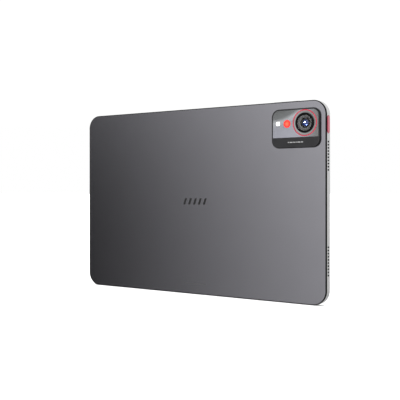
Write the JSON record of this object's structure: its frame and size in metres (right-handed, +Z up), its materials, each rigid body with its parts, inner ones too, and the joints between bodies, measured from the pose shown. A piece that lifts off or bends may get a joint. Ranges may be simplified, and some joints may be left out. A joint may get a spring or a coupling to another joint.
{
  "type": "tablet computer",
  "caption": "Slim metal tablet computer standing in landscape: flat rear panel with a raised camera island, coloured power key, rocker key, speakers and glass front.",
  "frame": {"origin": "middle of the lower long edge, halfway through the slim body", "axes": "+X along the long edge, to the right as seen from the rear; +Y through the thickness, from the rear cover to the screen; +Z up along the short edge"},
  "size_m": [0.2538, 0.0102, 0.165],
  "materials": {
    "rear_metal": "fine bead-blasted anodised, warm dark grey",
    "frame_metal": "satin anodised, light silver grey",
    "dark_metal": "satin anodised, near black",
    "red_metal": "satin anodised, crimson",
    "plate_metal": "bare rolled aluminium sheet",
    "steel": "plated, satin",
    "pouch_foil": "crinkled laminated foil, dark grey",
    "screen_glass": "polished, black behind, switched off",
    "island_glass": "polished, smoke grey behind",
    "clear_glass": "polished, coated",
    "display_stack": "laminated panel, dark",
    "light_guide": "white film stack in a thin tray",
    "white_lens": "milky diffuser",
    "red_gloss": "glossy vermilion",
    "black_plastic": "fine moulded texture",
    "adhesive": "black foam tape",
    "cone_film": "thin formed film",
    "mesh_fabric": "fine woven acoustic mesh, black",
    "circuit_board": "green solder mask",
    "flex_film": "amber polyimide film",
    "contact_gold": "gold plated"
  },
  "bodies": {
    "body": {"accent_ring": "red_metal", "backlight_unit": "light_guide", "battery_board": "circuit_board", "battery_cell_1": "pouch_foil", "battery_cell_2": "pouch_foil", "board_screw_1": "steel", "board_screw_2": "steel", "board_screw_3": "steel", "camera_flex": "flex_film", "camera_plate": "island_glass", "camera_trim": "dark_metal", "contact_insert": "black_plastic", "contact_pad_1": "contact_gold", "contact_pad_2": "contact_gold", "contact_pad_3": "contact_gold", "cover_glass": "screen_glass", "display_adhesive": "adhesive", "display_flex": "flex_film", "flash_led": "white_lens", "flash_window": "white_lens", "focus_motor": "dark_metal", "front_camera": "black_plastic", "key_flex": "flex_film", "lcd_panel": "display_stack", "lens_bezel": "dark_metal", "lens_shroud": "dark_metal", "lens_window": "clear_glass", "link_flex": "flex_film", "main_board": "circuit_board", "mid_plate": "plate_metal", "power_shield": "steel", "power_switch": "steel", "processor_shield": "steel", "rear_cover": "rear_metal", "red_marker": "red_gloss", "sensor_board": "circuit_board", "side_frame": "frame_metal", "speaker_box_lower_left": "black_plastic", "speaker_box_lower_right": "black_plastic", "speaker_box_upper_left": "black_plastic", "speaker_box_upper_right": "black_plastic", "speaker_mesh_lower_left": "mesh_fabric", "speaker_mesh_lower_right": "mesh_fabric", "speaker_mesh_upper_left": "mesh_fabric", "speaker_mesh_upper_right": "mesh_fabric", "usb_board": "circuit_board", "usb_c_shell": "steel", "usb_c_tongue": "black_plastic", "volume_switch_down": "steel", "volume_switch_up": "steel", "wifi_antenna_left": "black_plastic", "wifi_antenna_right": "black_plastic"},
    "power_button": {"power_button": "red_metal"},
    "volume_rocker": {"volume_rocker": "frame_metal"},
    "lens_carriage": {"lens_barrel": "black_plastic", "front_lens": "clear_glass"},
    "speaker_cone_lower_right": {"speaker_cone_lower_right": "cone_film"},
    "speaker_cone_upper_right": {"speaker_cone_upper_right": "cone_film"},
    "speaker_cone_lower_left": {"speaker_cone_lower_left": "cone_film"},
    "speaker_cone_upper_left": {"speaker_cone_upper_left": "cone_film"}
  },
  "joints": [
    {"name": "power_press", "type": "slide", "parent": "body", "child": "power_button", "axis": [-1, 0, 0], "range_m": [0, 0.0003], "stiffness_N_per_m": 4000},
    {"name": "volume_rock", "type": "hinge", "parent": "body", "child": "volume_rocker", "pos_m": [0.09, 0.00025, 0.16276], "axis": [0, 1, 0], "range_deg": [-1.5, 1.5], "stiffness_Nm_per_rad": 0.8},
    {"name": "lens_focus", "type": "slide", "parent": "body", "child": "lens_carriage", "axis": [0, -1, 0], "range_m": [0, 0.0003], "stiffness_N_per_m": 400},
    {"name": "cone_lower_right", "type": "slide", "parent": "body", "child": "speaker_cone_lower_right", "axis": [0, 1, 0], "range_m": [-0.0003, 0.0003], "stiffness_N_per_m": 600},
    {"name": "cone_upper_right", "type": "slide", "parent": "body", "child": "speaker_cone_upper_right", "axis": [0, 1, 0], "range_m": [-0.0003, 0.0003], "stiffness_N_per_m": 600},
    {"name": "cone_lower_left", "type": "slide", "parent": "body", "child": "speaker_cone_lower_left", "axis": [0, 1, 0], "range_m": [-0.0003, 0.0003], "stiffness_N_per_m": 600},
    {"name": "cone_upper_left", "type": "slide", "parent": "body", "child": "speaker_cone_upper_left", "axis": [0, 1, 0], "range_m": [-0.0003, 0.0003], "stiffness_N_per_m": 600}
  ]
}
